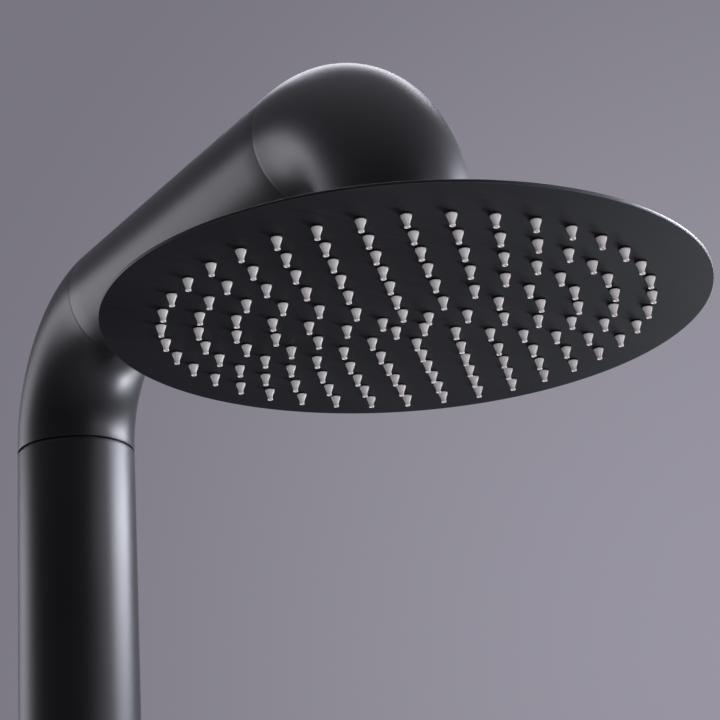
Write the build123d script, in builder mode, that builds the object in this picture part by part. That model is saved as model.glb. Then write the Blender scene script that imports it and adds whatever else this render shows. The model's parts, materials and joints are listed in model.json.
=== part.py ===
from build123d import *
import math
import os

os.makedirs("parts", exist_ok=True)

# Freestanding rainfall shower column, in millimetres, +Z up.
# The origin is the middle of the floor plate's underside, on the column's axis.
# The arm reaches towards -Y and carries the round shower head.

# ---- Driving dimensions ---------------------------------------------------------
# Tube run
tube_d = 50.8
tube_wall = 1.6
bend_r = 50.8
reach = 260.0
face_height = 2100.0
arm_rise = 84.0
elbow_tail = 2.4
joint_groove = 1.0
weld_gap = 0.05
fit_gap = 0.1
running_gap = 0.05
free_gap = 0.3

# Shower head
head_d = 200.0
ring_pitch = 12.0
ring_inner_r = 8.0
ring_counts = (5, 8, 14, 20, 26, 32, 38)
pattern_turn = -132.9
face_dome = 1.1
face_flat_r = 14.0
face_t = 1.0
rim_bevel = 0.25
mat_t = 1.2
mat_clearance = 4.0
nozzle_base_r = 1.7
nozzle_tip_r = 1.0
nozzle_len = 4.3
nozzle_bore_r = 0.5
back_t = 1.2
back_flange_w = 5.5
back_inset = 2.5
back_step = 1.8
back_crown_margin = 4.0
back_crown_z = 6.5

# Ball joint between arm and head
ball_r = 10.0
ball_height = 16.5
ball_flat = 7.5
ball_bore_r = 4.0
ball_neck_r = 5.5
seat_wall = 1.95
seat_height = 4.2
seal_wall = 1.0
seal_height = 4.0
seal_drop = 3.5
nut_wall = 2.5
nut_top = 9.4
nut_chamfer = 2.5
nut_lip = 0.5
hub_flange_w = 7.0
hub_flange_t = 2.0
hub_wall = 2.0
hub_drop = 2.8
hub_passage_r = 7.2
nipple_thread_r = 8.0

# Swivel between column and arm
bush_wall = 1.95
bush_len = 61.0
bush_drop = 1.0
spigot_wall = 4.75
spigot_len = 60.0
spigot_top = 5.6
glide_t = 0.7
glide_inset = 1.1
neck_step = 0.9
column_chamfer = 0.6
oring_r = 1.3
oring_depths = (15.0, 25.0)
stop_depth = 42.0
stop_r = 2.5
stop_reach = 1.2
swivel_half_angle = 45.0

# Water path
plug_t = 4.0
boss_r = 12.0
boss_h = 8.0
hose_r = 6.0
hose_bore_r = 4.5
fitting_flange = 2.2
fitting_wall = 1.0
ferrule_wall = 1.2
ferrule_len = 12.0
regulator_t = 2.5
regulator_hole_r = 2.0
nipple_thread_len = 6.0
riser_r = 7.5
riser_wall = 1.0
riser_drop = 75.0
riser_nut_across = 19.5
riser_nipple_wall = 2.5
union_r = 11.0
union_spigot_r = 7.0
union_spigot_len = 20.0
union_floor = 2.0
union_cap = 4.0
union_oring_r = 1.0
union_oring_share = 0.6
supply_r = 6.0
supply_wall = 1.0
supply_x = 9.3
pipe_socket = 12.0
nut_across_flats = 15.5
nut_h = 10.0

# Base
plate_d = 150.0
plate_t = 10.0
plate_chamfer = 1.0
bolt_pcd = 118.0
bolt_hole_r = 4.5
bolt_count = 4
socket_wall = 3.7
socket_h = 70.0
grub_r = 3.0
grub_z = 20.0
rosette_d = 170.0
rosette_wall = 1.5
rosette_h = 36.0
rosette_skirt_h = 14.0
rosette_corner = 5.0
rosette_collar_h = 6.0
collar_wall = 5.3
rosette_seal_r = 1.2
inlet_r = 7.5
inlet_len = 14.0
inlet_z = 3.0
check_valve_len = 16.0
valve_plate_t = 2.0
valve_plate_share = 0.6

# Mixer
mixer_z = 1050.0
mixer_tube_r = 24.0
mixer_tube_wall = 1.6
mixer_tube_end = 55.0
valve_half_h = 22.0
valve_flat = 17.0
valve_recess = 11.0
valve_spigot_r = 15.5
housing_r = 21.0
housing_end = 54.0
dome_lap = 4.0
cartridge_r = 17.5
cartridge_floor = 20.0
cartridge_shoulder = 44.0
cartridge_neck_r = 15.2
cartridge_thread_r = 19.5
cartridge_base = 6.0
cartridge_bore_r = 11.0
cavity_r = 15.6
cavity_end = 41.0
port_r = 2.6
port_low = -5.0
port_high = 9.0
seal_recess_w = 2.0
seal_recess_t = 1.0
disc_t = 8.0
fixed_disc_r = 14.5
control_disc_r = 10.3
control_disc_t = 6.0
driver_r = 5.8
driver_end = 47.5
driver_pocket_r = 4.2
driver_pocket_floor = 1.5
carrier_start = 48.0
carrier_end = 56.0
carrier_rim = 3.5
ear_end = 61.5
ear_r = 9.0
pivot_d = 58.0
pivot_pin_r = 2.0
pin_inset = 1.0
stem_side = 8.0
stem_nose_r = 3.0
stem_nose_start = 45.0
stem_start = 50.0
stem_end = 90.0
dome_r = 22.0
dome_wall = 1.2
dome_hole_r = 13.5
handle_r = 24.0
handle_gap = 0.6
handle_start = 66.5
handle_end = 104.0
edge_fillet = 1.5
handle_grub_d = 84.0
handle_grub_r = 2.0
handle_grub_len = 8.0
rod_d = 95.0
rod_r = 5.0
rod_len = 70.0
rod_seat = 8.0

# ---- Derived places -------------------------------------------------------------
tube_r = tube_d / 2
bore_r = tube_r - tube_wall
arm_z = face_height + arm_rise
bend_z = arm_z - bend_r
neck_z = bend_z - elbow_tail
column_top = neck_z - joint_groove
head_r = head_d / 2
ring_radii = [ring_inner_r + ring_pitch * index for index in range(len(ring_counts))]
outer_ring_r = ring_radii[-1]
ball_z = face_height + ball_height
flange_outer_r = head_r - back_inset
flange_inner_r = flange_outer_r - back_flange_w
mat_r = flange_inner_r - mat_clearance
seal_r = ball_r + seal_wall
hub_thread_r = seal_r + hub_wall
hub_flange_r = hub_thread_r + hub_flange_w
back_crown_r = hub_flange_r + back_crown_margin
nut_r = hub_thread_r + nut_wall
nut_opening_r = ball_r - nut_lip
head_plane = Plane.XZ.offset(reach)
head_axis = Axis((0, -reach, 0), (0, 0, 1))
head_centre = (0, -reach)
mixer_front = Plane(origin=(0, 0, mixer_z), x_dir=(1, 0, 0), z_dir=(0, -1, 0))
pivot = (0, -pivot_d, mixer_z)
supply_centres = ((-supply_x, 0), (supply_x, 0))
port_places = ((-supply_x, port_low), (supply_x, port_low), (0, port_high))


def face_z(radius):
    """Height of the face's underside at a radius: a flat middle in a very shallow cone."""
    along = max(radius, face_flat_r)
    return face_height - face_dome * (outer_ring_r - along) / (outer_ring_r - face_flat_r)


def turned(outline, plane=Plane.XZ, axis=Axis.Z, mode=Mode.ADD):
    """Turns a closed outline of (radius, height) points about an axis."""
    with BuildSketch(plane) as profile:
        with BuildLine():
            Polyline(*outline, close=True)
        make_face()
    revolve(profile.sketch, axis=axis, mode=mode)


def collar(outer_r, inner_r, low, high, centres=((0, 0),), mode=Mode.ADD):
    """Adds an upright round piece, hollow where inner_r isn't 0, at each centre."""
    with BuildSketch(Plane.XY.offset(low)) as outline:
        with Locations(*centres):
            Circle(outer_r)
            if inner_r:
                Circle(inner_r, mode=Mode.SUBTRACT)
    extrude(outline.sketch, amount=high - low, mode=mode)


def barrel(outer_r, inner_r, start, end, mode=Mode.ADD):
    """Adds a round piece on the mixer's axis, from start to end in front of the column's axis."""
    with BuildSketch(mixer_front.offset(start)) as outline:
        Circle(outer_r)
        if inner_r:
            Circle(inner_r, mode=Mode.SUBTRACT)
    extrude(outline.sketch, amount=end - start, mode=mode)


def ports(radius, start, end):
    """Drills the mixer's two inlet ports and its outlet port along the mixer's axis."""
    with BuildSketch(mixer_front.offset(start)) as outline:
        with Locations(*port_places):
            Circle(radius)
    extrude(outline.sketch, amount=end - start, mode=Mode.SUBTRACT)


def hex_nuts(across_flats, inner_r, low, high, centres):
    """Adds a hexagon nut with a round hole at each centre."""
    with BuildSketch(Plane.XY.offset(low)) as outline:
        with Locations(*centres):
            RegularPolygon(across_flats / 2, 6, major_radius=False)
            Circle(inner_r, mode=Mode.SUBTRACT)
    extrude(outline.sketch, amount=high - low)


def round_ring(ring_r, section_r, height, centre=(0, 0)):
    """Adds an O-ring lying flat at a height."""
    plane = Plane.XZ.offset(-centre[1])
    with BuildSketch(plane) as section:
        with Locations((ring_r, height)):
            Circle(section_r)
    revolve(section.sketch, axis=Axis((0, centre[1], 0), (0, 0, 1)))


def hex_key(plane, across_flats, depth):
    """Cuts a hexagon key socket downwards from a plane."""
    with BuildSketch(plane) as outline:
        RegularPolygon(across_flats / 2, 6, major_radius=False)
    extrude(outline.sketch, amount=-depth, mode=Mode.SUBTRACT)


# ---- Base -----------------------------------------------------------------------
socket_outer_r = bore_r - fit_gap
socket_inner_r = socket_outer_r - socket_wall

with BuildPart() as floor_plate:
    collar(plate_d / 2, socket_inner_r, 0, plate_t)
    rim = floor_plate.edges().filter_by(GeomType.CIRCLE).group_by(Axis.Z)[-1].sort_by(SortBy.RADIUS)[-1]
    chamfer(rim, length=plate_chamfer)
    with BuildSketch():
        with PolarLocations(bolt_pcd / 2, bolt_count, start_angle=45):
            Circle(bolt_hole_r)
    extrude(amount=plate_t, mode=Mode.SUBTRACT)
floor_plate.part.label = "floor_plate"
export_step(floor_plate.part, "parts/floor_plate.step")

grub_planes = [
    Plane(origin=(0, 0, grub_z), x_dir=(0, 0, 1), z_dir=(math.cos(turn), math.sin(turn), 0))
    for turn in (math.radians(90), math.radians(210), math.radians(330))
]

with BuildPart() as base_socket:
    collar(socket_outer_r, socket_inner_r, plate_t, plate_t + socket_h)
    for plane in grub_planes:
        with BuildSketch(plane):
            Circle(grub_r + running_gap)
        extrude(amount=tube_r, mode=Mode.SUBTRACT)
base_socket.part.label = "base_socket"
export_step(base_socket.part, "parts/base_socket.step")

grub_start = socket_inner_r + running_gap
grub_end = tube_r - fit_gap
with BuildPart() as base_grub_screws:
    for plane in grub_planes:
        with BuildSketch(plane.offset(grub_start)):
            Circle(grub_r)
        extrude(amount=grub_end - grub_start)
        hex_key(plane.offset(grub_end), grub_r, grub_r)
base_grub_screws.part.label = "base_grub_screws"
export_step(base_grub_screws.part, "parts/base_grub_screws.step")

collar_r = tube_r + free_gap
collar_outer_r = collar_r + collar_wall
seal_centre_r = tube_r + rosette_seal_r + running_gap / 2
seal_z = rosette_h - 2.5 * rosette_seal_r
shoulder_z = rosette_h - rosette_collar_h
rosette_r = rosette_d / 2
slope_r = rosette_r - rosette_corner
slope_z = rosette_skirt_h + rosette_corner
with BuildPart() as cover_rosette:
    turned(
        [
            (rosette_r, 0),
            (rosette_r, rosette_skirt_h),
            (slope_r, slope_z),
            (collar_outer_r, shoulder_z),
            (collar_outer_r, rosette_h),
            (collar_r, rosette_h),
            (collar_r, shoulder_z - 2 * rosette_wall),
            (collar_r + rosette_wall, shoulder_z - 2 * rosette_wall),
            (slope_r - rosette_wall / 2, slope_z - rosette_wall),
            (rosette_r - rosette_wall, rosette_skirt_h - rosette_wall / 2),
            (rosette_r - rosette_wall, 0),
        ]
    )
    collar(
        seal_centre_r + rosette_seal_r + running_gap,
        0,
        seal_z - rosette_seal_r - running_gap,
        seal_z + rosette_seal_r + running_gap,
        mode=Mode.SUBTRACT,
    )
cover_rosette.part.label = "cover_rosette"
export_step(cover_rosette.part, "parts/cover_rosette.step")

with BuildPart() as rosette_seal:
    round_ring(seal_centre_r, rosette_seal_r, seal_z)
rosette_seal.part.label = "rosette_seal"
export_step(rosette_seal.part, "parts/rosette_seal.step")

valve_low = inlet_z + inlet_len
valve_high = valve_low + check_valve_len
block_top = valve_high + pipe_socket
block_r = socket_inner_r - fit_gap
with BuildPart() as inlet_block:
    collar(block_r, 0, inlet_z, block_top)
    collar(inlet_r, 0, inlet_z, valve_low, supply_centres, Mode.SUBTRACT)
    collar(supply_r + running_gap, 0, valve_low, block_top, supply_centres, Mode.SUBTRACT)
inlet_block.part.label = "inlet_block"
export_step(inlet_block.part, "parts/inlet_block.step")

with BuildPart() as check_valves:
    collar(supply_r, supply_r / 2, valve_low, valve_high, supply_centres)
    valve_plate_top = valve_high - valve_plate_t
    collar(supply_r * valve_plate_share, 0, valve_plate_top - valve_plate_t, valve_plate_top, supply_centres)
check_valves.part.label = "check_valves"
export_step(check_valves.part, "parts/check_valves.step")

valve_bottom = mixer_z - valve_half_h
valve_top = mixer_z + valve_half_h
for side, name in ((-1, "hot_supply_pipe"), (1, "cold_supply_pipe")):
    with BuildPart() as supply_pipe:
        collar(
            supply_r,
            supply_r - supply_wall,
            valve_high,
            valve_bottom + pipe_socket,
            ((side * supply_x, 0),),
        )
    supply_pipe.part.label = name
    export_step(supply_pipe.part, f"parts/{name}.step")

with BuildPart() as supply_pipe_nuts:
    hex_nuts(nut_across_flats, supply_r + running_gap, block_top, block_top + nut_h, supply_centres)
    hex_nuts(nut_across_flats, supply_r + running_gap, valve_bottom - nut_h, valve_bottom, supply_centres)
supply_pipe_nuts.part.label = "supply_pipe_nuts"
export_step(supply_pipe_nuts.part, "parts/supply_pipe_nuts.step")

# ---- Column tube ------------------------------------------------------------------
stop_z = column_top - stop_depth
stop_plane = Plane(origin=(0, 0, stop_z), x_dir=(1, 0, 0), z_dir=(0, 1, 0))

with BuildPart() as column_tube:
    collar(tube_r, bore_r, plate_t, column_top)
    top_edge = column_tube.edges().filter_by(GeomType.CIRCLE).group_by(Axis.Z)[-1].sort_by(SortBy.RADIUS)[-1]
    chamfer(top_edge, length=column_chamfer)
    barrel(housing_r + free_gap, 0, 0, tube_d, Mode.SUBTRACT)
    for plane in grub_planes:
        with BuildSketch(plane):
            Circle(grub_r + running_gap)
        extrude(amount=tube_d, mode=Mode.SUBTRACT)
    with BuildSketch(stop_plane):
        Circle(stop_r + running_gap)
    extrude(amount=tube_d, mode=Mode.SUBTRACT)
column_tube.part.label = "column_tube"
export_step(column_tube.part, "parts/column_tube.step")

# ---- Mixer ------------------------------------------------------------------------
with BuildPart() as valve_body:
    collar(bore_r - 2 * fit_gap, 0, valve_bottom, valve_top)
    with BuildSketch(mixer_front.offset(valve_flat)):
        Rectangle(tube_d, 2 * valve_half_h + tube_wall)
    extrude(amount=tube_r, mode=Mode.SUBTRACT)
    barrel(valve_spigot_r, 0, valve_recess, tube_r, Mode.SUBTRACT)
    collar(
        supply_r + running_gap, 0, valve_bottom, valve_bottom + pipe_socket, supply_centres, Mode.SUBTRACT
    )
    collar(port_r, 0, valve_bottom, mixer_z + port_low, supply_centres, Mode.SUBTRACT)
    collar(riser_r + running_gap, 0, valve_top - pipe_socket, valve_top, mode=Mode.SUBTRACT)
    ports(port_r, 0, valve_flat)
valve_body.part.label = "valve_body"
export_step(valve_body.part, "parts/valve_body.step")

with BuildPart() as cartridge_housing:
    barrel(valve_spigot_r - running_gap, 0, valve_recess, valve_flat)
    barrel(housing_r, 0, valve_flat, housing_end)
    barrel(cartridge_r, 0, cartridge_floor, cartridge_shoulder, Mode.SUBTRACT)
    barrel(cartridge_thread_r, 0, cartridge_shoulder, housing_end, Mode.SUBTRACT)
    ports(port_r, valve_recess, cartridge_floor)
cartridge_housing.part.label = "cartridge_housing"
export_step(cartridge_housing.part, "parts/cartridge_housing.step")

seal_recess_r = port_r + seal_recess_w
disc_floor = cartridge_floor + cartridge_base
with BuildPart() as cartridge:
    barrel(cartridge_r - fit_gap, 0, cartridge_floor, cartridge_shoulder)
    barrel(cartridge_neck_r - fit_gap, 0, cartridge_shoulder, housing_end)
    barrel(cavity_r, 0, disc_floor, cavity_end, Mode.SUBTRACT)
    barrel(cartridge_bore_r + running_gap, 0, cavity_end, housing_end, Mode.SUBTRACT)
    ports(port_r, cartridge_floor, disc_floor)
    ports(seal_recess_r, cartridge_floor, cartridge_floor + seal_recess_t)
cartridge.part.label = "cartridge"
export_step(cartridge.part, "parts/cartridge.step")

with BuildPart() as cartridge_seals:
    with BuildSketch(mixer_front.offset(cartridge_floor)):
        with Locations(*port_places):
            Circle(seal_recess_r - running_gap)
            Circle(port_r, mode=Mode.SUBTRACT)
    extrude(amount=seal_recess_t)
cartridge_seals.part.label = "cartridge_seals"
export_step(cartridge_seals.part, "parts/cartridge_seals.step")

disc_face = disc_floor + disc_t
with BuildPart() as fixed_disc:
    barrel(fixed_disc_r, 0, disc_floor, disc_face)
    ports(port_r, disc_floor, disc_face)
fixed_disc.part.label = "fixed_disc"
export_step(fixed_disc.part, "parts/fixed_disc.step")

with BuildPart() as cartridge_nut:
    barrel(cartridge_thread_r - running_gap, cartridge_neck_r, cartridge_shoulder, housing_end)
cartridge_nut.part.label = "cartridge_nut"
export_step(cartridge_nut.part, "parts/cartridge_nut.step")

mixer_bore_r = mixer_tube_r - mixer_tube_wall
with BuildPart() as mixer_tube:
    barrel(mixer_tube_r, mixer_bore_r, 0, mixer_tube_end)
    collar(tube_r + weld_gap, 0, mixer_z - tube_d, mixer_z + tube_d, mode=Mode.SUBTRACT)
mixer_tube.part.label = "mixer_tube"
export_step(mixer_tube.part, "parts/mixer_tube.step")

pivot_plane = mixer_front.offset(pivot_d)
dome_skirt = housing_end - dome_lap
with BuildPart() as mixer_dome:
    with Locations(pivot):
        Sphere(dome_r)
    split(bisect_by=pivot_plane, keep=Keep.TOP)
    barrel(dome_r, 0, dome_skirt, pivot_d)
    with Locations(pivot):
        Sphere(dome_r - dome_wall, mode=Mode.SUBTRACT)
    barrel(housing_r + 2 * fit_gap, 0, dome_skirt, housing_end + fit_gap, Mode.SUBTRACT)
    barrel(dome_hole_r, 0, pivot_d, pivot_d + dome_r, Mode.SUBTRACT)
mixer_dome.part.label = "mixer_dome"
export_step(mixer_dome.part, "parts/mixer_dome.step")

slot_half = stem_side / 2 + free_gap
with BuildPart() as lever_carrier:
    barrel(cartridge_bore_r, 0, carrier_start, carrier_end)
    barrel(ear_r, 0, carrier_end, ear_end)
    with BuildSketch(mixer_front.offset(carrier_start)):
        Rectangle(2 * slot_half, 2 * (cartridge_bore_r - carrier_rim))
    extrude(amount=carrier_end - carrier_start, mode=Mode.SUBTRACT)
    with BuildSketch(mixer_front.offset(carrier_end)):
        Rectangle(2 * slot_half, 2 * cartridge_bore_r)
    extrude(amount=ear_end - carrier_end, mode=Mode.SUBTRACT)
    with BuildSketch(Plane.YZ.offset(-cartridge_bore_r)):
        with Locations((-pivot_d, mixer_z)):
            Circle(pivot_pin_r + running_gap / 2)
    extrude(amount=2 * cartridge_bore_r, mode=Mode.SUBTRACT)
lever_carrier.part.label = "lever_carrier"
export_step(lever_carrier.part, "parts/lever_carrier.step")

pin_half = ear_r - pin_inset
with BuildPart() as lever_pivot_pin:
    with BuildSketch(Plane.YZ.offset(-pin_half)):
        with Locations((-pivot_d, mixer_z)):
            Circle(pivot_pin_r)
    extrude(amount=2 * pin_half)
lever_pivot_pin.part.label = "lever_pivot_pin"
export_step(lever_pivot_pin.part, "parts/lever_pivot_pin.step")

control_start = disc_face + fit_gap
control_end = control_start + control_disc_t
with BuildPart() as control_disc:
    barrel(control_disc_r, 0, control_start, control_end)
    barrel(driver_r, 0, control_end, driver_end)
    barrel(driver_pocket_r, 0, stem_nose_start - driver_pocket_floor, driver_end, Mode.SUBTRACT)
control_disc.part.label = "control_disc"
export_step(control_disc.part, "parts/control_disc.step")

with BuildPart() as lever_stem:
    with BuildSketch(mixer_front.offset(stem_start)):
        Rectangle(stem_side, stem_side)
    extrude(amount=stem_end - stem_start)
    barrel(stem_nose_r, 0, stem_nose_start, stem_start)
    with BuildSketch(Plane.YZ.offset(-stem_side)):
        with Locations((-pivot_d, mixer_z)):
            Circle(pivot_pin_r + running_gap)
    extrude(amount=2 * stem_side, mode=Mode.SUBTRACT)
lever_stem.part.label = "lever_stem"
export_step(lever_stem.part, "parts/lever_stem.step")

rod_top = mixer_z - handle_r + rod_seat
rod_centre = ((0, -rod_d),)
grub_centre = ((0, -handle_grub_d),)
with BuildPart() as handle:
    barrel(handle_r, 0, handle_start, handle_end)
    front_edge = handle.edges().filter_by(GeomType.CIRCLE).sort_by(Axis.Y)[0]
    fillet(front_edge, radius=edge_fillet)
    with Locations(pivot):
        Sphere(dome_r + handle_gap, mode=Mode.SUBTRACT)
    with BuildSketch(mixer_front.offset(pivot_d)):
        Rectangle(stem_side + fit_gap, stem_side + fit_gap)
    extrude(amount=stem_end + fit_gap - pivot_d, mode=Mode.SUBTRACT)
    collar(rod_r + running_gap, 0, mixer_z - handle_r - rod_r, rod_top, rod_centre, Mode.SUBTRACT)
    collar(handle_grub_r + running_gap, 0, mixer_z - handle_r - rod_r, mixer_z, grub_centre, Mode.SUBTRACT)
handle.part.label = "handle"
export_step(handle.part, "parts/handle.step")

grub_top = mixer_z - stem_side / 2 - running_gap
with BuildPart() as handle_grub_screw:
    collar(handle_grub_r, 0, grub_top - handle_grub_len, grub_top, grub_centre)
    key_plane = Plane(origin=(0, -handle_grub_d, grub_top - handle_grub_len), z_dir=(0, 0, -1))
    hex_key(key_plane, handle_grub_r, handle_grub_r)
handle_grub_screw.part.label = "handle_grub_screw"
export_step(handle_grub_screw.part, "parts/handle_grub_screw.step")

with BuildPart() as lever_rod:
    collar(rod_r, 0, rod_top - rod_len, rod_top, rod_centre)
    lower_edge = lever_rod.edges().filter_by(GeomType.CIRCLE).sort_by(Axis.Z)[0]
    fillet(lower_edge, radius=edge_fillet)
lever_rod.part.label = "lever_rod"
export_step(lever_rod.part, "parts/lever_rod.step")

# ---- Riser and its swivel ------------------------------------------------------------
riser_top = column_top - riser_drop
with BuildPart() as riser_pipe:
    collar(riser_r, riser_r - riser_wall, valve_top - pipe_socket, riser_top)
riser_pipe.part.label = "riser_pipe"
export_step(riser_pipe.part, "parts/riser_pipe.step")

with BuildPart() as riser_nut:
    hex_nuts(riser_nut_across, riser_r + running_gap, valve_top, valve_top + nut_h, ((0, 0),))
riser_nut.part.label = "riser_nut"
export_step(riser_nut.part, "parts/riser_nut.step")

union_z = riser_top + union_floor
union_top = union_z + union_spigot_len
union_oring_z = union_z + union_spigot_len * union_oring_share
union_ring_r = union_spigot_r - union_oring_r + running_gap / 2
with BuildPart() as riser_nipple:
    collar(riser_r + riser_nipple_wall, riser_r + running_gap, riser_top - pipe_socket, riser_top)
    collar(riser_r + riser_nipple_wall, hose_bore_r, riser_top, union_z)
    collar(union_spigot_r, hose_bore_r - fitting_wall / 2, union_z, union_top)
    groove_low = union_oring_z - union_oring_r - running_gap
    groove_high = union_oring_z + union_oring_r + running_gap
    groove_r = union_ring_r - union_oring_r - running_gap
    collar(union_r, groove_r, groove_low, groove_high, mode=Mode.SUBTRACT)
riser_nipple.part.label = "riser_nipple"
export_step(riser_nipple.part, "parts/riser_nipple.step")

with BuildPart() as riser_oring:
    round_ring(union_ring_r, union_oring_r, union_oring_z)
riser_oring.part.label = "riser_oring"
export_step(riser_oring.part, "parts/riser_oring.step")

fitting_cap = union_top + free_gap
hose_start = fitting_cap + union_cap
with BuildPart() as hose_swivel_fitting:
    collar(union_r, union_spigot_r + running_gap, union_z + free_gap, fitting_cap)
    collar(union_r, hose_bore_r - fitting_wall, fitting_cap, hose_start)
    collar(hose_bore_r - weld_gap, hose_bore_r - fitting_wall, hose_start, hose_start + ferrule_len)
hose_swivel_fitting.part.label = "hose_swivel_fitting"
export_step(hose_swivel_fitting.part, "parts/hose_swivel_fitting.step")

bush_r = bore_r - running_gap
bush_bore_r = bush_r - bush_wall
bush_top = column_top - bush_drop
spigot_r = bush_bore_r - running_gap
spigot_bore_r = spigot_r - spigot_wall
with BuildPart() as column_bush:
    collar(bush_r, bush_bore_r, bush_top - bush_len, bush_top)
    with BuildSketch(stop_plane):
        Circle(stop_r + running_gap)
    extrude(amount=tube_r, mode=Mode.SUBTRACT)
column_bush.part.label = "column_bush"
export_step(column_bush.part, "parts/column_bush.step")

with BuildPart() as glide_ring:
    collar(tube_r - glide_inset, spigot_r + running_gap, column_top, column_top + glide_t)
glide_ring.part.label = "glide_ring"
export_step(glide_ring.part, "parts/glide_ring.step")

stop_inner_r = spigot_bore_r + stop_reach
stop_outer_r = tube_r - 2 * fit_gap
with BuildPart() as swivel_stop_pin:
    with BuildSketch(stop_plane.offset(stop_inner_r)):
        Circle(stop_r)
    extrude(amount=stop_outer_r - stop_inner_r)
    hex_key(stop_plane.offset(stop_outer_r), stop_r, stop_r)
swivel_stop_pin.part.label = "swivel_stop_pin"
export_step(swivel_stop_pin.part, "parts/swivel_stop_pin.step")

# ---- Arm -----------------------------------------------------------------------------
oring_ring_r = bush_bore_r - oring_r - running_gap / 2
slot_half_angle = swivel_half_angle + math.degrees(math.asin((stop_r + free_gap) / spigot_bore_r))
slot_start_angle = math.radians(90 - slot_half_angle)
slot_plane = Plane(
    origin=(0, 0, 0),
    x_dir=(math.cos(slot_start_angle), math.sin(slot_start_angle), 0),
    z_dir=(math.sin(slot_start_angle), -math.cos(slot_start_angle), 0),
)
with BuildPart() as neck_spigot:
    collar(spigot_r, spigot_bore_r, column_top - spigot_len, neck_z)
    collar(bore_r - running_gap, spigot_bore_r, neck_z, bend_z)
    collar(bore_r - neck_step, spigot_bore_r, bend_z, bend_z + spigot_top)
    for depth in oring_depths:
        groove_half = oring_r + running_gap
        groove_z = column_top - depth
        collar(
            tube_r,
            oring_ring_r - oring_r - running_gap,
            groove_z - groove_half,
            groove_z + groove_half,
            mode=Mode.SUBTRACT,
        )
    with BuildSketch(slot_plane) as slot_section:
        with Locations((spigot_r, stop_z)):
            Rectangle(3 * spigot_wall, 2 * (stop_r + free_gap))
    revolve(slot_section.sketch, axis=Axis.Z, revolution_arc=2 * slot_half_angle, mode=Mode.SUBTRACT)
neck_spigot.part.label = "neck_spigot"
export_step(neck_spigot.part, "parts/neck_spigot.step")

with BuildPart() as spigot_orings:
    for depth in oring_depths:
        round_ring(oring_ring_r, oring_r, column_top - depth)
spigot_orings.part.label = "spigot_orings"
export_step(spigot_orings.part, "parts/spigot_orings.step")

with BuildPart() as rear_elbow:
    with BuildLine(Plane.YZ) as rear_path:
        Line((0, neck_z), (0, bend_z))
        JernArc((0, bend_z), (0, 1), bend_r, 90)
    with BuildSketch(Plane.XY.offset(neck_z)):
        Circle(tube_r)
        Circle(bore_r, mode=Mode.SUBTRACT)
    sweep(path=rear_path.wire())
rear_elbow.part.label = "rear_elbow"
export_step(rear_elbow.part, "parts/rear_elbow.step")

arm_start = Plane(origin=(0, -bend_r, arm_z), x_dir=(1, 0, 0), z_dir=(0, -1, 0))
with BuildPart() as arm_tube:
    with BuildSketch(arm_start):
        Circle(tube_r)
        Circle(bore_r, mode=Mode.SUBTRACT)
    extrude(amount=reach - 2 * bend_r)
arm_tube.part.label = "arm_tube"
export_step(arm_tube.part, "parts/arm_tube.step")

with BuildPart() as front_elbow:
    with BuildLine(Plane.YZ) as front_path:
        Line((-reach, neck_z), (-reach, bend_z))
        JernArc((-reach, bend_z), (0, 1), bend_r, -90)
    with BuildSketch(Plane.XY.offset(neck_z)):
        with Locations(head_centre):
            Circle(tube_r)
            Circle(bore_r, mode=Mode.SUBTRACT)
    sweep(path=front_path.wire())
front_elbow.part.label = "front_elbow"
export_step(front_elbow.part, "parts/front_elbow.step")

boss_top = neck_z + plug_t + boss_h
with BuildPart() as end_plug:
    collar(bore_r - fit_gap, 0, neck_z, neck_z + plug_t, (head_centre,))
    collar(boss_r, 0, neck_z + plug_t, boss_top, (head_centre,))
    collar(nipple_thread_r + running_gap, 0, neck_z, boss_top, (head_centre,), Mode.SUBTRACT)
end_plug.part.label = "end_plug"
export_step(end_plug.part, "parts/end_plug.step")

regulator_z = neck_z + nipple_thread_len
with BuildPart() as flow_regulator:
    collar(nipple_thread_r, regulator_hole_r, regulator_z, regulator_z + regulator_t, (head_centre,))
flow_regulator.part.label = "flow_regulator"
export_step(flow_regulator.part, "parts/flow_regulator.step")

hose_end = boss_top + fitting_flange
hose_front_bend_r = arm_z - hose_end - ferrule_len
with BuildPart() as hose_end_fitting:
    collar(nipple_thread_r, hose_bore_r - fitting_wall, regulator_z + regulator_t, boss_top, (head_centre,))
    collar(nipple_thread_r + fitting_wall, hose_bore_r - fitting_wall, boss_top, hose_end, (head_centre,))
    collar(
        hose_bore_r - weld_gap,
        hose_bore_r - fitting_wall,
        hose_end,
        hose_end + ferrule_len,
        (head_centre,),
    )
hose_end_fitting.part.label = "hose_end_fitting"
export_step(hose_end_fitting.part, "parts/hose_end_fitting.step")

with BuildPart() as arm_hose:
    with BuildLine(Plane.YZ) as hose_path:
        Line((0, hose_start), (0, bend_z))
        JernArc((0, bend_z), (0, 1), bend_r, 90)
        Line((-bend_r, arm_z), (hose_front_bend_r - reach, arm_z))
        JernArc((hose_front_bend_r - reach, arm_z), (-1, 0), hose_front_bend_r, 90)
        Line((-reach, arm_z - hose_front_bend_r), (-reach, hose_end))
    with BuildSketch(Plane.XY.offset(hose_start)):
        Circle(hose_r)
        Circle(hose_bore_r, mode=Mode.SUBTRACT)
    sweep(path=hose_path.wire())
arm_hose.part.label = "arm_hose"
export_step(arm_hose.part, "parts/arm_hose.step")

ferrule_r = hose_r + ferrule_wall
with BuildPart() as hose_ferrules:
    collar(ferrule_r, hose_r + weld_gap, hose_start, hose_start + ferrule_len)
    collar(ferrule_r, hose_r + weld_gap, hose_end, hose_end + ferrule_len, (head_centre,))
hose_ferrules.part.label = "hose_ferrules"
export_step(hose_ferrules.part, "parts/hose_ferrules.step")

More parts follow.
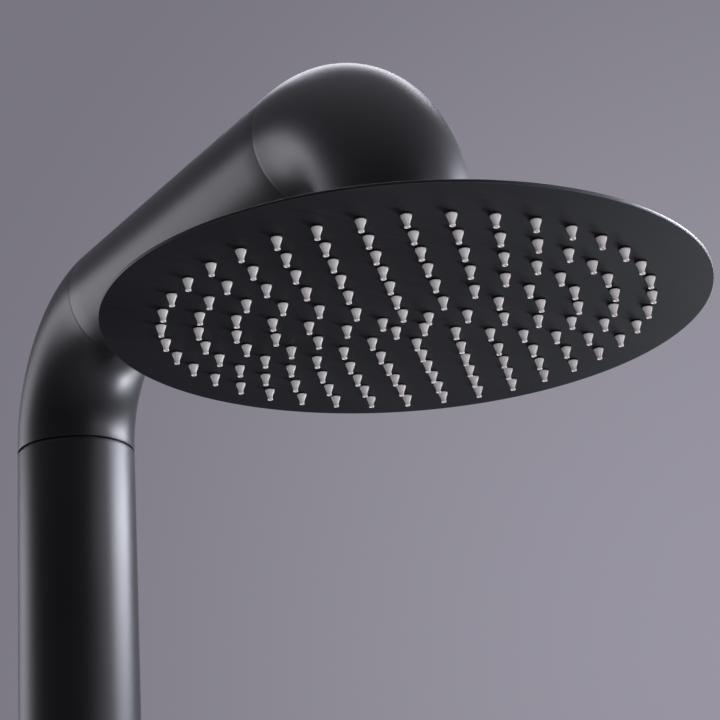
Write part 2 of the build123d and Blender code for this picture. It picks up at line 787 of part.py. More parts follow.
# ---- Ball joint ------------------------------------------------------------------------
ball_place = (0, -reach, ball_z)
with BuildPart() as ball_nipple:
    with Locations(ball_place):
        Sphere(ball_r)
    collar(ball_neck_r, 0, ball_z, neck_z, (head_centre,))
    collar(nipple_thread_r, 0, neck_z, neck_z + nipple_thread_len, (head_centre,))
    collar(ball_r, 0, ball_z - ball_r, ball_z - ball_flat, (head_centre,), Mode.SUBTRACT)
    collar(ball_bore_r, 0, ball_z - ball_r, regulator_z, (head_centre,), Mode.SUBTRACT)
ball_nipple.part.label = "ball_nipple"
export_step(ball_nipple.part, "parts/ball_nipple.step")

socket_r = ball_r + running_gap
seat_r = socket_r + seat_wall
with BuildPart() as ball_seat:
    with Locations(ball_place):
        Sphere(seat_r)
        Sphere(socket_r, mode=Mode.SUBTRACT)
    split(bisect_by=Plane.XY.offset(ball_z + free_gap), keep=Keep.TOP)
    split(bisect_by=Plane.XY.offset(ball_z + free_gap + seat_height), keep=Keep.BOTTOM)
ball_seat.part.label = "ball_seat"
export_step(ball_seat.part, "parts/ball_seat.step")

seal_top = ball_z - seal_drop
seal_bottom = seal_top - seal_height
with BuildPart() as ball_seal:
    collar(seal_r, 0, seal_bottom, seal_top, (head_centre,))
    with Locations(ball_place):
        Sphere(socket_r, mode=Mode.SUBTRACT)
ball_seal.part.label = "ball_seal"
export_step(ball_seal.part, "parts/ball_seal.step")

crown_under = face_height + back_crown_z
crown_top = crown_under + back_t
hub_top = ball_z - hub_drop
hub_bottom = crown_under - hub_flange_t
with BuildPart() as head_hub:
    collar(hub_flange_r, 0, hub_bottom, crown_under, (head_centre,))
    collar(hub_thread_r - running_gap, 0, crown_under, hub_top, (head_centre,))
    collar(seal_r + running_gap, 0, seal_bottom - fit_gap, hub_top, (head_centre,), Mode.SUBTRACT)
    collar(hub_passage_r, 0, hub_bottom, hub_top, (head_centre,), Mode.SUBTRACT)
head_hub.part.label = "head_hub"
export_step(head_hub.part, "parts/head_hub.step")

nut_bottom = crown_top + fit_gap
nut_upper = ball_z + nut_top
with BuildPart() as swivel_nut:
    turned(
        [
            (0, nut_bottom),
            (nut_r, nut_bottom),
            (nut_r, nut_upper - nut_chamfer),
            (nut_r - nut_chamfer, nut_upper),
            (0, nut_upper),
        ],
        head_plane,
        head_axis,
    )
    with Locations(ball_place):
        Sphere(seat_r + running_gap, mode=Mode.SUBTRACT)
    collar(hub_thread_r, 0, nut_bottom, hub_top + fit_gap, (head_centre,), Mode.SUBTRACT)
    collar(nut_opening_r, 0, ball_z, nut_upper, (head_centre,), Mode.SUBTRACT)
swivel_nut.part.label = "swivel_nut"
export_step(swivel_nut.part, "parts/swivel_nut.step")

# ---- Shower head -------------------------------------------------------------------------
def ring_places(index):
    """Centres of one nozzle ring; every ring has a nozzle on the same ray."""
    count = ring_counts[index]
    places = []
    for step in range(count):
        angle = math.radians(pattern_turn + 360 * step / count)
        x = ring_radii[index] * math.cos(angle)
        y = ring_radii[index] * math.sin(angle)
        places.append((x, y - reach))
    return places


rim_r = head_r - rim_bevel
with BuildPart() as face_plate:
    turned(
        [
            (0, face_z(0)),
            (face_flat_r, face_z(0)),
            (rim_r, face_z(rim_r)),
            (head_r, face_z(rim_r) + rim_bevel),
            (head_r, face_z(rim_r) + face_t - rim_bevel),
            (rim_r, face_z(rim_r) + face_t),
            (face_flat_r, face_z(0) + face_t),
            (0, face_z(0) + face_t),
        ],
        head_plane,
        head_axis,
    )
    with BuildSketch(Plane.XY.offset(face_z(0) - face_t)):
        for index in range(len(ring_counts)):
            with Locations(*ring_places(index)):
                Circle(nozzle_base_r + running_gap)
    extrude(amount=4 * face_t, mode=Mode.SUBTRACT)
face_plate.part.label = "face_plate"
export_step(face_plate.part, "parts/face_plate.step")

mat_under = face_t + running_gap
mat_over = face_t + mat_t
with BuildPart() as nozzle_mat:
    turned(
        [
            (0, face_z(0) + mat_under),
            (face_flat_r, face_z(0) + mat_under),
            (mat_r, face_z(mat_r) + mat_under),
            (mat_r, face_z(mat_r) + mat_over),
            (face_flat_r, face_z(0) + mat_over),
            (0, face_z(0) + mat_over),
        ],
        head_plane,
        head_axis,
    )
    for index in range(len(ring_counts)):
        ring_face_z = face_z(ring_radii[index])
        with BuildSketch(Plane.XY.offset(ring_face_z)):
            with Locations(*ring_places(index)):
                Circle(nozzle_base_r)
        extrude(amount=face_t + mat_t / 2)
    for index in range(len(ring_counts)):
        ring_face_z = face_z(ring_radii[index])
        for place in ring_places(index):
            with Locations((place[0], place[1], ring_face_z - nozzle_len / 2)):
                Cone(nozzle_tip_r, nozzle_base_r, nozzle_len)
    with BuildSketch(Plane.XY.offset(face_z(0) - 2 * nozzle_len)):
        for index in range(len(ring_counts)):
            with Locations(*ring_places(index)):
                Circle(nozzle_bore_r)
    extrude(amount=4 * nozzle_len, mode=Mode.SUBTRACT)
nozzle_mat.part.label = "nozzle_mat"
export_step(nozzle_mat.part, "parts/nozzle_mat.step")

flange_outer_z = face_z(flange_outer_r) + face_t
flange_inner_z = face_z(flange_inner_r) + face_t
with BuildPart() as back_plate:
    turned(
        [
            (flange_outer_r, flange_outer_z),
            (flange_inner_r, flange_inner_z),
            (flange_inner_r - back_t, flange_inner_z + back_step),
            (back_crown_r, crown_under),
            (hub_thread_r + fit_gap, crown_under),
            (hub_thread_r + fit_gap, crown_top),
            (back_crown_r, crown_top),
            (flange_inner_r - back_t / 2, flange_inner_z + back_step + back_t),
            (flange_inner_r + back_t, flange_inner_z + back_t),
            (flange_outer_r, flange_outer_z + back_t / 2),
        ],
        head_plane,
        head_axis,
    )
back_plate.part.label = "back_plate"
export_step(back_plate.part, "parts/back_plate.step")
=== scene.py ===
import json
import math
import random

import bmesh
import bpy
from mathutils import Matrix, Vector


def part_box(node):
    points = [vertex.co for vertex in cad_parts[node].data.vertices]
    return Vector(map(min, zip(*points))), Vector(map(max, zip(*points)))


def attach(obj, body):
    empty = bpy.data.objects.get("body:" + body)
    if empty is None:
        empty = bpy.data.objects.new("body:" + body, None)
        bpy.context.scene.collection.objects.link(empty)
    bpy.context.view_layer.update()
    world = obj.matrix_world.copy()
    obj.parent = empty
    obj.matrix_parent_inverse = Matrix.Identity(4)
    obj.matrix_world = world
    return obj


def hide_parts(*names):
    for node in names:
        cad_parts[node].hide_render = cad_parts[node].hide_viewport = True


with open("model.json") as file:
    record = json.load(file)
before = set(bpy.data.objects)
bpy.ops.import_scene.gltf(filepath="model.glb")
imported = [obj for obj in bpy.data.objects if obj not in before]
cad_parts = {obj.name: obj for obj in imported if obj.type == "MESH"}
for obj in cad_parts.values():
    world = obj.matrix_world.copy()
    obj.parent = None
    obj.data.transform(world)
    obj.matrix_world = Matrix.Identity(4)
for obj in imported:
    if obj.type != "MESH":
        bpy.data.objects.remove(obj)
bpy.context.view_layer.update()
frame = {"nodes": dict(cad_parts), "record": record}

# Looks of a freestanding rainfall shower column, in metres, in the CAD frame.
# Places come from the CAD nodes' boxes; the values below are sizes and finishes of their own.

MM = 0.001

# ---- Places read from the frame --------------------------------------------------
column_low, column_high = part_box("column_tube")
elbow_low, elbow_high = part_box("rear_elbow")
front_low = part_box("front_elbow")[0]
face_low, face_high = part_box("face_plate")
back_low, back_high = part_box("back_plate")
stop_low, stop_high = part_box("swivel_stop_pin")
branch_low, branch_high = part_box("mixer_tube")

tube_r = (column_high.x - column_low.x) / 2
column_top = column_high.z
neck_z = elbow_low.z
arm_z = elbow_high.z - tube_r
bend_r = -elbow_low.y
bend_z = arm_z - bend_r
reach = -front_low.y - tube_r
head_centre = Vector((0, -reach, 0))
head_r = (face_high.x - face_low.x) / 2
face_z = face_low.z

# ---- Driving values ----------------------------------------------------------------
# Tubes
tube_wall = 1.6 * MM
weld_round = 0.08 * MM
neck_round = 0.35 * MM
column_round = 0.6 * MM
mixer_opening_inset = 2.7 * MM
straight_step = 60 * MM
run_step = 10 * MM
bend_step = 2 * MM

# Head
ring_counts = (5, 8, 14, 20, 26, 32, 38)
ring_inner_r = 8 * MM
ring_pitch = 12 * MM
pattern_turn = math.radians(-132.9)
face_dome = 1.1 * MM
face_flat_r = 14 * MM
face_middle_r = 0.5 * MM
face_crease = 1.0 * MM
face_t = 1.0 * MM
rim_round = 0.25 * MM
hole_gap = 0.05 * MM
collar_h = 0.42 * MM
collar_wall = 0.18 * MM
mat_t = 1.2 * MM
mat_margin = 8 * MM
nozzle_r = 1.7 * MM
nozzle_root_r = 1.67 * MM
nozzle_bore_r = 0.5 * MM
nozzle_lean = 0.014
back_t = 1.2 * MM
back_flange_w = 5.5 * MM
back_step = 1.8 * MM
back_round = 0.5 * MM
back_crown_r = 24 * MM
back_hole_gap = 0.1 * MM
hub_thread_r = 13 * MM
outer_ring_r = ring_inner_r + ring_pitch * (len(ring_counts) - 1)

# Fineness of round shapes
tube_segments = 224
plate_segments = 256
mat_segments = 128
floor_segments = 96
opening_segments = 96
screw_segments = 48
hole_segments = 32
nozzle_segments = 28
sharp_degrees = 35
nozzle_sharp_degrees = 50

# Directions
EAST = Vector((1, 0, 0))
NORTH = Vector((0, 1, 0))
UP = Vector((0, 0, 1))


def direction(heading, rise):
    """Unit vector from a heading and a rise in radians."""
    level = math.cos(rise)
    return Vector((level * math.cos(heading), level * math.sin(heading), math.sin(rise)))


# ---- Camera --------------------------------------------------------------------------
def make_camera():
    """A long lens close to the head, looking up at it from the front left."""
    heading = math.radians(56.637)
    rise = math.radians(20.088)
    roll = math.radians(-3.886)
    offset = Vector((-0.33654, -0.48176, -0.22912))
    ahead = direction(heading, rise)
    level = ahead.cross(UP).normalized()
    upright = level.cross(ahead)
    right = math.cos(roll) * level + math.sin(roll) * upright
    up = right.cross(ahead)
    data = bpy.data.cameras.new("camera")
    data.lens = 96.335
    data.sensor_width = 36
    data.clip_start = 0.01
    data.clip_end = 60
    camera = bpy.data.objects.new("camera", data)
    bpy.context.scene.collection.objects.link(camera)
    turn = Matrix((right, up, -ahead)).transposed().to_4x4()
    face_middle = head_centre + Vector((0, 0, face_z + face_dome))
    camera.matrix_world = Matrix.Translation(face_middle + offset) @ turn
    bpy.context.scene.camera = camera


make_camera()


# ---- Mesh helpers ----------------------------------------------------------------------
def add_object(name, mesh, sharp=sharp_degrees):
    """Links a mesh as an object, smooth except at edges sharper than an angle in degrees."""
    for polygon in mesh.polygons:
        polygon.use_smooth = True
    mesh.set_sharp_from_angle(angle=math.radians(sharp))
    made = bpy.data.objects.new(name, mesh)
    bpy.context.scene.collection.objects.link(made)
    return made


def skin_rings(bm, rings, closed):
    """Joins rings of points with quads. A closed skin joins the last ring to the first."""
    loops = [[bm.verts.new(point) for point in ring] for ring in rings]
    pairs = list(zip(loops, loops[1:]))
    if closed:
        pairs.append((loops[-1], loops[0]))
    for one, two in pairs:
        count = len(one)
        for step in range(count):
            after = (step + 1) % count
            bm.faces.new((one[step], one[after], two[after], two[step]))
    if not closed:
        bm.faces.new(loops[0])
        bm.faces.new(loops[-1])


def ring(centre, across, up, radius, segments):
    """Points of a circle about a centre, in the plane of two unit vectors."""
    turns = [2 * math.pi * step / segments for step in range(segments)]
    return [centre + radius * (math.cos(turn) * across + math.sin(turn) * up) for turn in turns]


def mesh_from(bm, name):
    """Finishes a bmesh with its faces turned outwards."""
    bmesh.ops.recalc_face_normals(bm, faces=bm.faces)
    mesh = bpy.data.meshes.new(name)
    bm.to_mesh(mesh)
    bm.free()
    return mesh


def turn_outline(bm, centre, outline, segments, axis=UP, across=EAST, closed=True):
    """Adds to a bmesh an outline of (radius, height), turned about an axis through a centre."""
    up = axis.cross(across)
    rings = []
    for radius, height in outline:
        rings.append(ring(centre + height * axis, across, up, radius, segments))
    skin_rings(bm, rings, closed)


def lathe(name, centre, outline, segments, axis=UP, closed=True):
    """A turned piece of its own. An outline that isn't closed gets a flat end at each end."""
    bm = bmesh.new()
    turn_outline(bm, centre, outline, segments, axis, closed=closed)
    return add_object(name, mesh_from(bm, name))


def arc(centre_r, centre_h, radius, start, end, steps=5):
    """Outline points of a round corner, by angles in degrees from the outward direction."""
    points = []
    for step in range(steps + 1):
        angle = math.radians(start + (end - start) * step / steps)
        points.append((centre_r + radius * math.cos(angle), centre_h + radius * math.sin(angle)))
    return points


def stretch(low, high, longest):
    """Evenly spaced values from low to high, no further apart than longest."""
    count = max(1, math.ceil(abs(high - low) / longest))
    return [low + (high - low) * step / count for step in range(count + 1)]


def soften(outline, radius, steps=5):
    """A closed outline with rounded corners, and guard points that keep its straight runs flat."""
    nearly_straight = math.radians(88)
    corner_share = 0.45
    guard_share = 1.05 * corner_share
    points = []
    count = len(outline)
    for index in range(count):
        before = Vector(outline[index - 1])
        corner = Vector(outline[index])
        after = Vector(outline[(index + 1) % count])
        towards = (before - corner).normalized()
        away = (after - corner).normalized()
        half = towards.angle(away) / 2
        if half > nearly_straight:
            points.append(tuple(corner))
            continue
        run = min((before - corner).length, (after - corner).length)
        length = min(radius / math.tan(half), corner_share * run)
        guard = min(2 * length, guard_share * run)
        size = length * math.tan(half)
        middle = corner + (towards + away).normalized() * size / math.sin(half)
        start = corner + towards * length - middle
        turn = start.angle_signed(corner + away * length - middle)
        points.append(tuple(corner + towards * guard))
        for step in range(steps + 1):
            points.append(tuple(middle + Matrix.Rotation(-turn * step / steps, 2) @ start))
        points.append(tuple(corner + away * guard))
    return points


def cut(target, cutters):
    """Cuts closed meshes out of a piece and removes them."""
    for cutter in cutters:
        modifier = target.modifiers.new("cut", "BOOLEAN")
        modifier.operation = "DIFFERENCE"
        modifier.solver = "EXACT"
        modifier.object = cutter
    bpy.context.view_layer.update()
    graph = bpy.context.evaluated_depsgraph_get()
    mesh = bpy.data.meshes.new_from_object(target.evaluated_get(graph))
    target.modifiers.clear()
    target.data = mesh
    mesh.set_sharp_from_angle(angle=math.radians(sharp_degrees))
    for cutter in cutters:
        bpy.data.objects.remove(cutter)


# ---- The arm's line: up the neck, round the rear bend, along, round the front bend, down ---
quarter = math.pi / 2 * bend_r
arm_run = reach - 2 * bend_r
tail = bend_z - neck_z
weld_1 = tail + quarter
weld_2 = weld_1 + arm_run
line_end = weld_2 + quarter + tail


def line_at(along):
    """Centre and outward direction of the arm's line at a length along it."""
    if along <= tail:
        return Vector((0, 0, neck_z + along)), NORTH
    if along <= weld_1:
        angle = (along - tail) / bend_r
        middle = -bend_r
    elif along <= weld_2:
        return Vector((0, -bend_r - (along - weld_1), arm_z)), UP
    elif along <= line_end - tail:
        angle = math.pi / 2 + (along - weld_2) / bend_r
        middle = -reach + bend_r
    else:
        return Vector((0, -reach, neck_z + line_end - along)), -NORTH
    outward = Vector((0, math.cos(angle), math.sin(angle)))
    return Vector((0, middle, bend_z)) + bend_r * outward, outward


def pipe(name, start, end, start_round, end_round, longest):
    """A tube along the arm's line between two lengths, with rounded outer edges at its ends."""
    bm = bmesh.new()
    corner_steps = 4
    stations = []
    for step in range(corner_steps):
        angle = math.pi / 2 * (1 - step / corner_steps)
        along = start + start_round * (1 - math.sin(angle))
        stations.append((along, start_round * (1 - math.cos(angle))))
    stations += [(along, 0.0) for along in stretch(start + start_round, end - end_round, longest)]
    for step in range(1, corner_steps + 1):
        angle = math.pi / 2 * step / corner_steps
        along = end - end_round * (1 - math.sin(angle))
        stations.append((along, end_round * (1 - math.cos(angle))))
    rings = []
    for along, inset in stations:
        centre, outward = line_at(along)
        rings.append(ring(centre, EAST, outward, tube_r - inset, tube_segments))
    for along in reversed(stretch(start, end, longest)):
        centre, outward = line_at(along)
        rings.append(ring(centre, EAST, outward, tube_r - tube_wall, tube_segments))
    skin_rings(bm, rings, True)
    return add_object(name, mesh_from(bm, name))


# ---- Materials -----------------------------------------------------------------------------
class Finish:
    """A node material with one Principled shader and short ways to vary it over the surface."""

    def __init__(self, name, metallic=0.0, specular=0.5):
        self.material = bpy.data.materials.new(name)
        self.material.use_nodes = True
        self.tree = self.material.node_tree
        self.shader = self.tree.nodes["Principled BSDF"]
        self.shader.inputs["Metallic"].default_value = metallic
        self.shader.inputs["Specular IOR Level"].default_value = specular
        self.place = self.tree.nodes.new("ShaderNodeTexCoord").outputs["Object"]

    def noise(self, size, detail=3.0, stretch_by=(1, 1, 1)):
        """Noise with features about size metres wide, longer along axes with larger factors."""
        mapping = self.tree.nodes.new("ShaderNodeMapping")
        mapping.inputs["Scale"].default_value = [1 / factor for factor in stretch_by]
        self.tree.links.new(self.place, mapping.inputs["Vector"])
        texture = self.tree.nodes.new("ShaderNodeTexNoise")
        texture.inputs["Scale"].default_value = 1 / size
        texture.inputs["Detail"].default_value = detail
        self.tree.links.new(mapping.outputs["Vector"], texture.inputs["Vector"])
        return texture.outputs["Fac"]

    def blend(self, first, second, share):
        """A mix of two grey outputs."""
        mix = self.tree.nodes.new("ShaderNodeMix")
        mix.data_type = "FLOAT"
        mix.inputs["Factor"].default_value = share
        self.tree.links.new(first, mix.inputs[2])
        self.tree.links.new(second, mix.inputs[3])
        return mix.outputs[0]

    def colour(self, fac, dark, light, low=0.3, high=0.7):
        """Base colour between two shades, by a grey output."""
        ramp = self.tree.nodes.new("ShaderNodeValToRGB")
        ramp.color_ramp.elements[0].position = low
        ramp.color_ramp.elements[1].position = high
        ramp.color_ramp.elements[0].color = (*dark, 1)
        ramp.color_ramp.elements[1].color = (*light, 1)
        self.tree.links.new(fac, ramp.inputs["Fac"])
        self.tree.links.new(ramp.outputs["Color"], self.shader.inputs["Base Color"])

    def roughness(self, fac, smooth, rough, low=0.3, high=0.7):
        """Roughness between two values, by a grey output."""
        span = self.tree.nodes.new("ShaderNodeMapRange")
        span.inputs["From Min"].default_value = low
        span.inputs["From Max"].default_value = high
        span.inputs["To Min"].default_value = smooth
        span.inputs["To Max"].default_value = rough
        self.tree.links.new(fac, span.inputs["Value"])
        self.tree.links.new(span.outputs["Result"], self.shader.inputs["Roughness"])

    def bump(self, fac, height, strength=1.0):
        """Surface relief of a height in metres, by a grey output."""
        relief = self.tree.nodes.new("ShaderNodeBump")
        relief.inputs["Distance"].default_value = height
        relief.inputs["Strength"].default_value = strength
        self.tree.links.new(fac, relief.inputs["Height"])
        self.tree.links.new(relief.outputs["Normal"], self.shader.inputs["Normal"])


def black_tube_finish():
    """Satin black powder coat: fine orange peel, faint clouds in its gloss."""
    made = Finish("satin_black_coating", specular=0.5)
    clouds = made.noise(0.09, 4.0)
    peel = made.noise(1.1 * MM, 2.0)
    made.colour(clouds, (0.0028, 0.0028, 0.0038), (0.0052, 0.0053, 0.0068))
    made.roughness(made.blend(clouds, peel, 0.35), 0.37, 0.43)
    made.bump(peel, 0.004 * MM, 0.5)
    return made.material


def black_head_finish():
    """Satin black coat over brushed steel: faint long streaks in one direction."""
    made = Finish("satin_black_brushed", specular=0.075)
    streaks = made.noise(0.9 * MM, 3.0, (60, 1, 1))
    clouds = made.noise(0.035, 4.0, (2.2, 1, 1))
    both = made.blend(streaks, clouds, 0.55)
    made.colour(both, (0.0022, 0.0022, 0.0032), (0.0066, 0.0067, 0.0088))
    made.roughness(both, 0.44, 0.58)
    made.bump(streaks, 0.003 * MM, 0.35)
    return made.material


def silicone_finish():
    """Matte moulded silicone with a soft depth."""
    made = Finish("grey_silicone", specular=0.42)
    tint = made.noise(4 * MM, 2.0)
    grain = made.noise(0.25 * MM, 2.0)
    made.colour(tint, (0.62, 0.59, 0.59), (0.72, 0.69, 0.69))
    made.roughness(grain, 0.46, 0.60)
    made.bump(grain, 0.012 * MM, 0.5)
    return made.material


def steel_finish():
    """Turned stainless steel."""
    made = Finish("stainless_steel", metallic=1.0)
    lines = made.noise(0.5 * MM, 2.0, (1, 1, 0.2))
    stain = made.noise(0.02, 3.0)
    made.colour(stain, (0.46, 0.46, 0.47), (0.58, 0.58, 0.58))
    made.roughness(made.blend(lines, stain, 0.4), 0.24, 0.40)
    made.bump(lines, 0.004 * MM, 0.4)
    return made.material


def brass_finish():
    """Machined brass, slightly dulled."""
    made = Finish("machined_brass", metallic=1.0)
    stain = made.noise(0.012, 4.0)
    lines = made.noise(0.4 * MM, 2.0, (1, 1, 0.2))
    made.colour(stain, (0.50, 0.34, 0.14), (0.68, 0.49, 0.23))
    made.roughness(made.blend(stain, lines, 0.4), 0.26, 0.42)
    made.bump(lines, 0.004 * MM, 0.4)
    return made.material


def chrome_finish():
    """Polished chrome plate with faint water haze."""
    made = Finish("chromed_brass", metallic=1.0)
    haze = made.noise(0.015, 4.0)
    fine = made.noise(0.3 * MM, 2.0)
    made.colour(haze, (0.60, 0.61, 0.63), (0.74, 0.75, 0.77))
    made.roughness(haze, 0.05, 0.13)
    made.bump(fine, 0.0006 * MM, 0.3)
    return made.material


def plastic_finish(name, dark, light, smooth, rough):
    """Moulded plastic or rubber with a fine grain."""
    made = Finish(name, specular=0.45)
    tint = made.noise(0.01, 3.0)
    grain = made.noise(0.35 * MM, 2.0)
    made.colour(tint, dark, light)
    made.roughness(grain, smooth, rough)
    made.bump(grain, 0.008 * MM, 0.4)
    return made.material


def hose_finish():
    """Black rubber hose with the print of its braid."""
    made = Finish("braided_hose", specular=0.4)
    weave = made.noise(0.8 * MM, 1.0, (1, 2.5, 2.5))
    made.colour(weave, (0.012, 0.012, 0.013), (0.045, 0.045, 0.048))
    made.roughness(weave, 0.5, 0.7)
    made.bump(weave, 0.05 * MM, 0.6)
    return made.material


# Dark and light shade, then smoothest and roughest
plastics = {
    "white_acetal": ((0.62, 0.62, 0.60), (0.72, 0.72, 0.70), 0.32, 0.44),
    "black_acetal": ((0.004, 0.004, 0.005), (0.009, 0.009, 0.010), 0.40, 0.55),
    "seal_rubber": ((0.008, 0.008, 0.008), (0.016, 0.016, 0.016), 0.55, 0.72),
    "ceramic": ((0.70, 0.69, 0.66), (0.80, 0.79, 0.76), 0.16, 0.26),
}

finishes = {
    "black_coated_tube": black_tube_finish(),
    "black_coated_head": black_head_finish(),
    "grey_silicone": silicone_finish(),
    "stainless_steel": steel_finish(),
    "brass": brass_finish(),
    "chromed_brass": chrome_finish(),
    "hose_rubber": hose_finish(),
}
for name, look in plastics.items():
    finishes[name] = plastic_finish(name, *look)

for part in frame["record"]["subparts"]:
    node = frame["nodes"][part["node"]]
    node.data.materials.clear()
    node.data.materials.append(finishes[part["material_slot"]])


def dress(piece, body, slot, *nodes):
    """Gives a new piece its finish, its body and the CAD nodes that it stands for."""
    piece.data.materials.clear()
    piece.data.materials.append(finishes[slot])
    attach(piece, body)
    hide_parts(*nodes)


# ---- Column tube -----------------------------------------------------------------------------
def rod(name, height, radius, away, segments):
    """A rod from the column's axis outwards, to cut an opening with."""
    outline = [(radius, 0), (radius, 2 * tube_r)]
    return lathe(name, Vector((0, 0, height)), outline, segments, away, closed=False)


def build_column():
    """The straight tube, rounded at the joint, open for the mixer and for the stop screw."""
    bore_r = tube_r - tube_wall
    outline = [(bore_r, height) for height in stretch(column_top, column_low.z, straight_step)]
    corner_z = column_top - column_round
    outline += [(tube_r, height) for height in stretch(column_low.z, corner_z, straight_step)]
    outline += arc(tube_r - column_round, corner_z, column_round, 0, 90)[1:]
    column = lathe("column_tube_fine", Vector((0, 0, 0)), outline, tube_segments)
    opening_z = (branch_low.z + branch_high.z) / 2
    opening_r = (branch_high.x - branch_low.x) / 2 - mixer_opening_inset
    opening = rod("opening", opening_z, opening_r, -NORTH, opening_segments)
    screw_z = (stop_high.z + stop_low.z) / 2
    screw_r = (stop_high.x - stop_low.x) / 2 + hole_gap
    screw_hole = rod("screw_hole", screw_z, screw_r, NORTH, screw_segments)
    cut(column, [opening, screw_hole])
    dress(column, "column", "black_coated_tube", "column_tube")


build_column()


# ---- Arm ---------------------------------------------------------------------------------------
def build_arm():
    """Two bends and a straight run, with a hairline at each weld."""
    rear = pipe("rear_bend", 0, weld_1, neck_round, weld_round, bend_step)
    dress(rear, "arm", "black_coated_tube", "rear_elbow")
    run = pipe("arm_run", weld_1, weld_2, weld_round, weld_round, run_step)
    dress(run, "arm", "black_coated_tube", "arm_tube")
    front = pipe("front_bend", weld_2, line_end, weld_round, neck_round, bend_step)
    dress(front, "arm", "black_coated_tube", "front_elbow")


build_arm()


# ---- Nozzles -----------------------------------------------------------------------------------
def face_height(radius):
    """Height of the face's underside at a radius: a flat middle in a very shallow cone."""
    along = max(radius, face_flat_r)
    return face_z + face_dome * (along - face_flat_r) / (outer_ring_r - face_flat_r)


def nozzle_places():
    """Radius and angle of each nozzle; every ring has one on the same ray."""
    for index, count in enumerate(ring_counts):
        for step in range(count):
            yield ring_inner_r + ring_pitch * index, pattern_turn + 2 * math.pi * step / count


def face_place(radius, angle):
    """The point of the face's underside at a radius and an angle."""
    level = radius * direction(angle, 0)
    return head_centre + level + face_height(radius) * UP


def nozzle_outline():
    """A straight root, a hollow taper to a waist and a rounded lip, with a bore all the way."""
    above = face_t + mat_t / 2
    outside = [
        (1.67, -0.50),
        (1.64, -0.68),
        (1.54, -0.98),
        (1.40, -1.38),
        (1.22, -1.82),
        (1.06, -2.26),
        (0.93, -2.70),
        (0.86, -3.06),
        (0.86, -3.34),
        (0.91, -3.58),
        (0.95, -3.78),
        (0.92, -3.93),
        (0.80, -4.03),
        (0.66, -4.04),
        (0.55, -3.97),
        (0.50, -3.80),
    ]
    outline = [(nozzle_root_r, above)]
    outline += [(radius * MM, height * MM) for radius, height in outside]
    outline.append((nozzle_bore_r, above))
    return outline


def build_nozzles():
    """The silicone mat and its moulded nozzles, each a little out of true."""
    chance = random.Random(7)
    mat_r = outer_ring_r + mat_margin
    under = face_t + hole_gap
    over = face_t + mat_t
    outline = [
        (nozzle_r, face_height(0) + over),
        (face_flat_r, face_height(0) + over),
        (mat_r, face_height(mat_r) + over),
        (mat_r, face_height(mat_r) + under),
        (face_flat_r, face_height(0) + under),
        (nozzle_r, face_height(0) + under),
    ]
    bm = bmesh.new()
    turn_outline(bm, head_centre, outline, mat_segments)
    for radius, angle in nozzle_places():
        lean = Vector((chance.gauss(0, nozzle_lean), chance.gauss(0, nozzle_lean), 1)).normalized()
        side = NORTH.cross(lean).normalized()
        turn_outline(bm, face_place(radius, angle), nozzle_outline(), nozzle_segments, lean, side)
    nozzles = add_object("nozzle_mat_fine", mesh_from(bm, "nozzle_mat_fine"), nozzle_sharp_degrees)
    dress(nozzles, "head", "grey_silicone", "nozzle_mat")


build_nozzles()


# ---- Head plates -------------------------------------------------------------------------------
def build_face():
    """The thin face plate, with a hole for each nozzle."""
    edge_r = head_r - rim_round
    turns = (face_middle_r, face_flat_r - face_crease, face_flat_r + face_crease, edge_r)
    under = [(radius, face_height(radius)) for radius in turns]
    over = [(radius, height + face_t) for radius, height in reversed(under)]
    face = lathe("face_plate_fine", head_centre, under + over, plate_segments, closed=False)
    hole_r = nozzle_r + hole_gap
    hole = [(hole_r, -face_t), (hole_r, 4 * face_t)]
    bm = bmesh.new()
    for radius, angle in nozzle_places():
        centre = face_place(radius, angle)
        centre.z = face_z
        turn_outline(bm, centre, hole, hole_segments, closed=False)
    cut(face, [add_object("holes", mesh_from(bm, "holes"))])
    dress(face, "head", "black_coated_head", "face_plate")


def build_rim():
    """The face plate's rounded outer edge, coated as the tubes are."""
    rim_z = face_height(head_r)
    edge_r = head_r - rim_round
    inner_r = head_r - 2 * rim_round
    low = arc(edge_r, rim_z + rim_round, rim_round, -90, 0)
    high = arc(edge_r, rim_z + face_t - rim_round, rim_round, 0, 90)
    outline = low + high + [(inner_r, rim_z + face_t), (inner_r, rim_z)]
    rim = lathe("face_rim", head_centre, outline, plate_segments)
    dress(rim, "head", "black_coated_tube", "face_plate")


def build_collars():
    """The lip that each punched hole leaves under the face, round its nozzle."""
    inner_r = nozzle_r + hole_gap
    outer_r = inner_r + collar_wall
    round_r = collar_wall / 2
    foot = face_t / 4
    outline = [(outer_r + 2 * round_r, foot), (outer_r + round_r, 0), (outer_r, -round_r)]
    outline += arc(inner_r + round_r, round_r - collar_h, round_r, 0, -180, steps=6)
    outline.append((inner_r, foot))
    bm = bmesh.new()
    for radius, angle in nozzle_places():
        turn_outline(bm, face_place(radius, angle), outline, nozzle_segments)
    collars = add_object("nozzle_collars", mesh_from(bm, "nozzle_collars"))
    dress(collars, "head", "black_coated_head", "face_plate")


